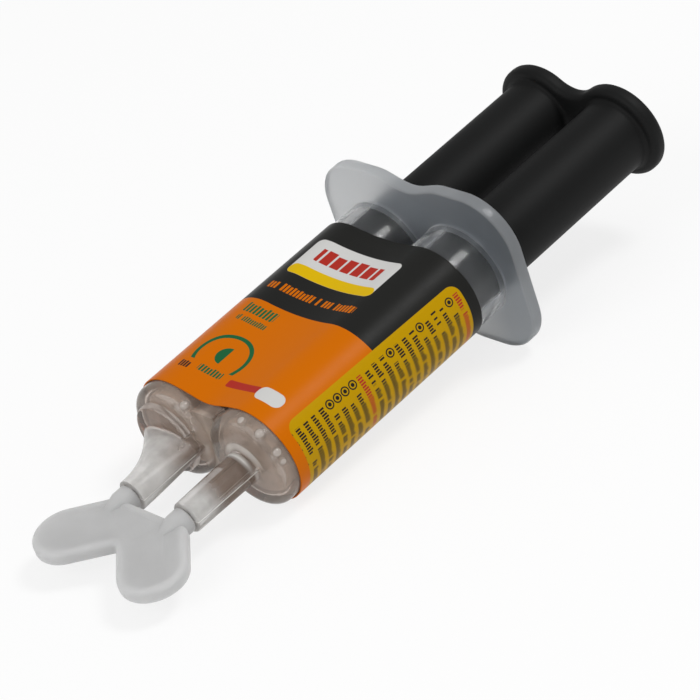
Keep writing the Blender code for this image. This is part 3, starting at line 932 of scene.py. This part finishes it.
piston_plastic, shade, place = new_finish("piston_plastic")
grain = shade.noise(place, piston_grain_scale)
set_shader(
    shade,
    Base_Color=grain.mixed(piston_deep_colour, piston_pale_colour),
    Roughness=piston_roughness + piston_grain_roughness * grain,
)
for node_name, tube_across in (("resin_piston", resin_across), ("hardener_piston", hardener_across)):
    piston = turned(node_name + "_plug", piston_stations, tube_across)
    laid_down(piston, "plunger_unit", piston_plastic)
    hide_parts(node_name)

# Plunger: one black polypropylene moulding, two hollow rods on a common thumb plate. The rods are turned
# with a fillet at the plate, the plate is pressed from its twin outline with well rounded edges, all
# are fused, and the cores are taken out.
rod_radius = 0.00515
rod_wall = 0.0012
rod_front = 0.0341
rod_front_rounding = 0.0003
rod_plate_fillet = 0.0007
thumb_plate_front = 0.0719
thumb_plate_thickness = 0.0024
thumb_plate_lobe_radius = 0.0067
thumb_plate_valley_radius = 0.0047
thumb_plate_rounding = 0.0009
thumb_plate_lobe_steps = 48
thumb_plate_valley_steps = 16
thumb_plate_bevel_steps = 5
rod_fillet_steps = 6
rod_front_steps = 3
plunger_deep_colour = (0.0065, 0.0067, 0.0067, 1.0)
plunger_rubbed_colour = (0.0105, 0.0108, 0.0108, 1.0)
plunger_grain_scale = 5200.0
plunger_grain_bump = 0.00002
plunger_grain_bump_strength = 0.30
rubbed_scale = 240.0
rubbed_detail = 4.0
rubbed_stretch = (1.0, 1.0, 0.12)
plunger_roughness = 0.44
plunger_grain_roughness = 0.08
rubbed_roughness = 0.12
plunger_specular = 0.12


def twin_outline(lobe_radius, valley_radius):
    """Outline of two round lobes with a valley between them above and below."""
    lean = math.acos(barrel_half_spacing / (lobe_radius + valley_radius))
    height = (lobe_radius + valley_radius) * math.sin(lean)
    lobe_turn = math.pi - lean
    half = arc((barrel_half_spacing, 0.0), lobe_radius, -lobe_turn, lobe_turn, thumb_plate_lobe_steps)
    half += arc((0.0, height), valley_radius, -lean, -lobe_turn, thumb_plate_valley_steps)[1:-1]
    return half + [(-point_across, -point_up) for point_across, point_up in half]


fillet_centre = (rod_radius + rod_plate_fillet, thumb_plate_front + fillet_sink - rod_plate_fillet)
rod_end_centre = (rod_radius - rod_front_rounding, rod_front + rod_front_rounding)
rod_stations = [(rod_radius + rod_plate_fillet, thumb_plate_front + thumb_plate_thickness / 2)]
rod_stations += arc(fillet_centre, rod_plate_fillet, quarter_turn, 2 * quarter_turn, rod_fillet_steps)
rod_stations += arc(rod_end_centre, rod_front_rounding, 0.0, -quarter_turn, rod_front_steps)
core_radius = rod_radius - rod_wall
core_stations = [(core_radius, thumb_plate_front), (core_radius, rod_front - cut_overrun)]
thumb_plate_outline = twin_outline(thumb_plate_lobe_radius, thumb_plate_valley_radius)
plunger = pressed("plunger_moulding", thumb_plate_outline, thumb_plate_thickness, thumb_plate_front)
rounded(plunger, thumb_plate_rounding, thumb_plate_bevel_steps)
for tube_across in (hardener_across, resin_across):
    fused(plunger, turned("rod", rod_stations, tube_across))
for tube_across in (hardener_across, resin_across):
    fused(plunger, turned("core", core_stations, tube_across), "DIFFERENCE")

black_plastic, shade, place = new_finish("black_plastic")
grain = shade.noise(place, plunger_grain_scale, fine_detail)
rubbed = shade.noise(place, rubbed_scale, rubbed_detail, rubbed_stretch)
set_shader(
    shade,
    Base_Color=rubbed.mixed(plunger_deep_colour, plunger_rubbed_colour),
    Roughness=plunger_roughness + plunger_grain_roughness * grain + rubbed_roughness * rubbed,
    Specular_IOR_Level=plunger_specular,
    Normal=shade.bump(grain, plunger_grain_bump, plunger_grain_bump_strength),
)
laid_down(plunger, "plunger_unit", black_plastic)
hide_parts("plunger")

# Closure: one milky polyethylene moulding, a flat tab with two rounded wings and a raised rim, and on
# its rear edge a neck and a domed pin for each nozzle. The tab is pressed from its outline, its faces
# are inset and sunk inside the rim, and the necks and pins are turned and fused to it.
tab_middle = -0.00255
tab_rear = -0.01215
tab_thickness = 0.0020
tab_rear_width = 0.0128
tab_shoulder_radius = 0.0015
tab_notch_radius = 0.0008
tab_rounding = 0.0006
tab_rim_width = 0.0004
tab_rim_slope = 0.0002
tab_rim_height = 0.00009
wing_length = 0.0105
wing_width = 0.0089
wing_angle = math.radians(43.4)
wing_corner_radius = 0.0044
neck_radius = 0.00175
neck_end = -0.0107
neck_rounding = 0.0002
neck_foot_radius = 0.0006
neck_foot = -0.0160
neck_shoulder = -0.0124
pin_radius = 0.00095
pin_end = -0.0062
pin_dome_turn = 0.93 * quarter_turn
tab_corner_steps = 12
neck_steps = 3
neck_round_steps = 64
least_facing = 0.95
tab_deep_colour = (0.445, 0.445, 0.445, 1.0)
tab_pale_colour = (0.495, 0.495, 0.495, 1.0)
tab_cloud_scale = 380.0
tab_grain_scale = 4200.0
tab_grain_bump = 0.00001
tab_grain_bump_strength = 0.30
tab_roughness = 0.50
tab_grain_roughness = 0.12
tab_specular = 0.25
milkiness_weight = 1.0
milkiness_radius = (1.0, 1.0, 1.0)
milkiness_depth = 0.005


def rounded_outline(corners):
    """A closed outline through (across, along, radius) corners, each rounded by its own arc."""
    outline = []
    for number, (corner_across, corner_along, radius) in enumerate(corners):
        corner = Vector((corner_across, corner_along))
        next_number = (number + 1) % len(corners)
        to_last = (Vector(corners[number - 1][:2]) - corner).normalized()
        to_next = (Vector(corners[next_number][:2]) - corner).normalized()
        half_angle = to_last.angle(to_next) / 2
        centre = corner + (to_last + to_next).normalized() * radius / math.sin(half_angle)
        first = corner + to_last * radius / math.tan(half_angle) - centre
        last = corner + to_next * radius / math.tan(half_angle) - centre
        start = math.atan2(first.y, first.x)
        sweep = math.atan2(first.cross(last), first.dot(last))
        outline += arc(centre, radius, start, start + sweep, tab_corner_steps)
    return outline


def tab_outline():
    """The tab from above: a straight rear edge, two round-ended wings and a notch in front."""
    half_rear = tab_rear_width / 2
    outward = Vector((math.cos(wing_angle), -math.sin(wing_angle)))
    inward = Vector((-math.sin(wing_angle), -math.cos(wing_angle)))
    rear_corner = Vector((half_rear, 0.0)) + outward * wing_length
    front_corner = rear_corner + inward * wing_width
    notch_depth = (wing_width - half_rear * math.sin(wing_angle)) / math.cos(wing_angle)
    wing = [(half_rear, 0.0, tab_shoulder_radius)]
    wing += [(rear_corner.x, rear_corner.y, wing_corner_radius)]
    wing += [(front_corner.x, front_corner.y, wing_corner_radius)]
    other_wing = [(-corner_across, depth, radius) for corner_across, depth, radius in reversed(wing)]
    return rounded_outline(wing + [(0.0, -notch_depth, tab_notch_radius)] + other_wing)


closure = pressed("closure_moulding", tab_outline(), tab_thickness, -tab_thickness / 2)
rounded(closure, tab_rounding)
for face_sign in (1.0, -1.0):
    edit_all(closure)
    bpy.ops.mesh.select_all(action="DESELECT")
    bpy.ops.object.mode_set(mode="OBJECT")
    facing = [face for face in closure.data.polygons if face.normal.z * face_sign > least_facing]
    widest = max(facing, key=lambda face: face.area)
    widest.select = True
    bpy.ops.object.mode_set(mode="EDIT")
    bpy.ops.mesh.inset(thickness=tab_rim_width, depth=0.0)
    bpy.ops.mesh.inset(thickness=tab_rim_slope, depth=-tab_rim_height)
    close_edit()
standing = Matrix.Translation((tab_middle, 0.0, tab_rear)) @ Matrix.Rotation(quarter_turn, 4, "X")
moved(closure, standing)
neck_centre = (neck_radius - neck_rounding, neck_end - neck_rounding)
neck_stations = [(neck_foot_radius, neck_foot), (neck_radius, neck_shoulder)]
neck_stations += arc(neck_centre, neck_rounding, 0.0, quarter_turn, neck_steps)
pin_dome_start = pin_end - pin_radius
pin_stations = [(pin_radius, tab_rear)]
pin_stations += arc((0.0, pin_dome_start), pin_radius, 0.0, pin_dome_turn)
for tip_across in (hardener_across, fan_tip_across):
    fused(closure, turned("neck", neck_stations, tip_across, neck_round_steps))
    fused(closure, turned("pin", pin_stations, tip_across, small_round_steps))

milky_plastic, shade, place = new_finish("milky_plastic")
clouds = shade.noise(place, tab_cloud_scale, fine_detail)
grain = shade.noise(place, tab_grain_scale)
set_shader(
    shade,
    Base_Color=clouds.mixed(tab_deep_colour, tab_pale_colour),
    Roughness=tab_roughness + tab_grain_roughness * grain,
    Specular_IOR_Level=tab_specular,
    Subsurface_Weight=milkiness_weight,
    Subsurface_Radius=milkiness_radius,
    Subsurface_Scale=milkiness_depth,
    Normal=shade.bump(grain, tab_grain_bump, tab_grain_bump_strength),
)
laid_down(closure, "closure", milky_plastic)
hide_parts("tip_closure")

# Studio: a plain pale floor under even light from all round, with a soft lamp above and behind the thumb
# plate, a wider and weaker one in front, and the camera at the photo's angle to the syringe. Seen by the
# camera, in a gloss or through clear plastic, the floor is nearly white, and it keeps the shadow.
floor_size = 6.0
floor_colour = (0.94, 0.94, 0.94, 1.0)
floor_roughness = 0.9
floor_glow = 0.80
glow_strength = 1.0
white_light = (1.0, 1.0, 1.0, 1.0)
around_light = 0.45
key_direction = Vector((0.47, -0.35, 0.81))
key_distance = 0.80
key_size = 0.26
key_power = 2.6
fill_direction = Vector((-0.70, -0.10, 0.62))
fill_distance = 0.80
fill_size = 0.60
fill_power = 2.2
view_azimuth = math.radians(-35.0)
view_elevation = math.radians(34.44)
view_roll = math.radians(19.89)
view_distance = 0.40997
view_target_along = 0.0240
view_lens = 168.07
view_sensor = 36.0
view_shift = (0.0176, -0.0213)
view_clip_start = 0.01

bpy.ops.mesh.primitive_plane_add(size=floor_size)
floor = bpy.context.object
floor.name = "floor"
paper = bpy.data.materials.new("paper")
paper.use_nodes = True
shade = Shade(paper.node_tree)
lit_paper = set_shader(shade, Base_Color=floor_colour, Roughness=floor_roughness)
white_paper = shade.node("ShaderNodeEmission", {}, {"Color": white_light, "Strength": glow_strength})
camera_ray = shade.node("ShaderNodeLightPath", {}, {}, "Is Camera Ray")
glossy_ray = shade.node("ShaderNodeLightPath", {}, {}, "Is Glossy Ray")
clear_ray = shade.node("ShaderNodeLightPath", {}, {}, "Is Transmission Ray")
seen = camera_ray.at_least(glossy_ray).at_least(clear_ray) * floor_glow
paper_mix = shade.node("ShaderNodeMixShader", {}, {0: seen, 1: lit_paper, 2: white_paper})
shade.tree.links.new(paper_mix.socket, shade.tree.nodes["Material Output"].inputs["Surface"])
floor.data.materials.append(paper)

world = bpy.data.worlds.new("studio")
world.use_nodes = True
background = world.node_tree.nodes["Background"]
background.inputs["Color"].default_value = white_light
background.inputs["Strength"].default_value = around_light
bpy.context.scene.world = world

syringe_axes = Matrix((syringe_axis, Vector((0.0, 1.0, 0.0)), syringe_up)).transposed()
target = syringe_start + syringe_axis * view_target_along


def lamp(name, direction, distance, size, power):
    """A round soft lamp that faces the syringe from a direction in its own axes."""
    bpy.ops.object.light_add(type="AREA")
    made = bpy.context.object
    made.name = name
    made.data.shape = "DISK"
    made.data.energy = power
    made.data.size = size
    towards = (syringe_axes @ direction).normalized()
    made.location = target + towards * distance
    made.rotation_euler = towards.to_track_quat("Z", "Y").to_euler()


lamp("key_lamp", key_direction, key_distance, key_size, key_power)
lamp("fill_lamp", fill_direction, fill_distance, fill_size, fill_power)

level = math.cos(view_elevation)
back_along = math.sin(view_azimuth) * level
back_across = -math.cos(view_azimuth) * level
back = Vector((back_along, back_across, math.sin(view_elevation)))
right = Vector((math.cos(view_azimuth), math.sin(view_azimuth), 0.0))
above = back.cross(right)
rolled_right = math.cos(view_roll) * right - math.sin(view_roll) * above
rolled_up = math.sin(view_roll) * right + math.cos(view_roll) * above
view_axes = syringe_axes @ Matrix((rolled_right, rolled_up, back)).transposed()
bpy.ops.object.camera_add()
camera = bpy.context.object
camera.data.sensor_width = view_sensor
camera.data.lens = view_lens
camera.data.shift_x = view_shift[0]
camera.data.shift_y = view_shift[1]
camera.data.clip_start = view_clip_start
view_place = Matrix.Translation(target + syringe_axes @ back * view_distance)
camera.matrix_world = view_place @ view_axes.to_4x4()
bpy.context.scene.camera = camera
bpy.context.scene.view_settings.view_transform = "Standard"
